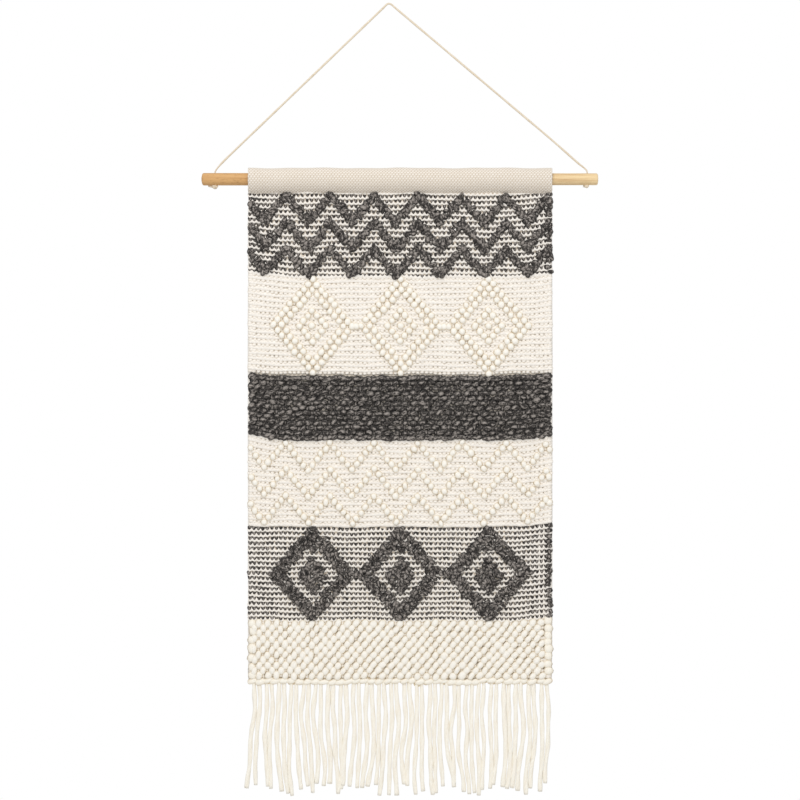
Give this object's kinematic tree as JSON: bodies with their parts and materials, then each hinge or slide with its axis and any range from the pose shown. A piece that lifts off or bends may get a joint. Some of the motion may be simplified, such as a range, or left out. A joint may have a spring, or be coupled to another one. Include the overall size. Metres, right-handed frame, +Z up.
{
  "type": "tapestry wall hanging",
  "caption": "Woven wall hanging with raised loop zigzags, diamonds and bands, a bottom fringe and a top sleeve on a wooden dowel hung by a cord.",
  "frame": {"origin": "the hanging point: the underside of the cord at its highest place, where a nail or hook carries it", "axes": "+Z up, +X to the right of someone facing the hanging, +Y towards the wall, so the patterned face looks along -Y"},
  "size_m": [0.594, 0.03, 1.1891],
  "materials": {
    "dowel_wood": "bare sanded pale wood with a fine lengthwise grain",
    "cotton_cord": "matt twisted natural cotton cord",
    "sleeve_cloth": "matt plain weave, light grey-beige",
    "ground_weave": "matt ribbed flat weave in cream, striped with charcoal behind the charcoal motifs",
    "charcoal_yarn": "matt soft heathered charcoal yarn in raised loops",
    "cream_yarn": "matt soft unspun cream yarn"
  },
  "bodies": {
    "cord": {"hanging_cord": "cotton_cord"},
    "dowel": {"dowel": "dowel_wood", "cord_knot_left": "cotton_cord", "cord_knot_right": "cotton_cord"},
    "sleeve": {"rod_sleeve": "sleeve_cloth", "sleeve_seam": "cream_yarn"},
    "panel": {"charcoal_diamond_centre": "charcoal_yarn", "charcoal_diamond_heart_centre": "charcoal_yarn", "charcoal_diamond_heart_left": "charcoal_yarn", "charcoal_diamond_heart_right": "charcoal_yarn", "charcoal_diamond_left": "charcoal_yarn", "charcoal_diamond_right": "charcoal_yarn", "charcoal_loop_band": "charcoal_yarn", "charcoal_zigzag_lower": "charcoal_yarn", "charcoal_zigzag_middle": "charcoal_yarn", "charcoal_zigzag_upper": "charcoal_yarn", "cream_diamond_centre": "cream_yarn", "cream_diamond_heart_centre": "cream_yarn", "cream_diamond_heart_left": "cream_yarn", "cream_diamond_heart_right": "cream_yarn", "cream_diamond_left": "cream_yarn", "cream_diamond_right": "cream_yarn", "cream_loop_band": "cream_yarn", "cream_zigzag_lower": "cream_yarn", "cream_zigzag_middle": "cream_yarn", "cream_zigzag_upper": "cream_yarn", "twined_edge": "cream_yarn", "woven_ground": "ground_weave"},
    "fringe": {"fringe_01": "cream_yarn", "fringe_02": "cream_yarn", "fringe_03": "cream_yarn", "fringe_04": "cream_yarn", "fringe_05": "cream_yarn", "fringe_06": "cream_yarn", "fringe_07": "cream_yarn", "fringe_08": "cream_yarn", "fringe_09": "cream_yarn", "fringe_10": "cream_yarn", "fringe_11": "cream_yarn", "fringe_12": "cream_yarn", "fringe_13": "cream_yarn", "fringe_14": "cream_yarn", "fringe_15": "cream_yarn", "fringe_16": "cream_yarn", "fringe_17": "cream_yarn", "fringe_18": "cream_yarn", "fringe_19": "cream_yarn", "fringe_20": "cream_yarn", "fringe_21": "cream_yarn", "fringe_22": "cream_yarn", "fringe_23": "cream_yarn", "fringe_24": "cream_yarn"}
  },
  "joints": [
    {"name": "dowel_swing", "type": "hinge", "parent": "cord", "child": "dowel", "pos_m": [0.0173, 0, -0.253], "axis": [-1, 0, 0], "range_deg": [-60, 60]},
    {"name": "cloth_slide", "type": "slide", "parent": "dowel", "child": "sleeve", "axis": [1, 0, 0], "range_m": [-0.04, 0.04]},
    {"name": "panel_swing", "type": "hinge", "parent": "sleeve", "child": "panel", "pos_m": [0.0173, 0, -0.29], "axis": [-1, 0, 0], "range_deg": [-90, 90]},
    {"name": "fringe_swing", "type": "hinge", "parent": "panel", "child": "fringe", "pos_m": [0.0173, 0.0021, -1.0238], "axis": [-1, 0, 0], "range_deg": [-90, 90]}
  ]
}
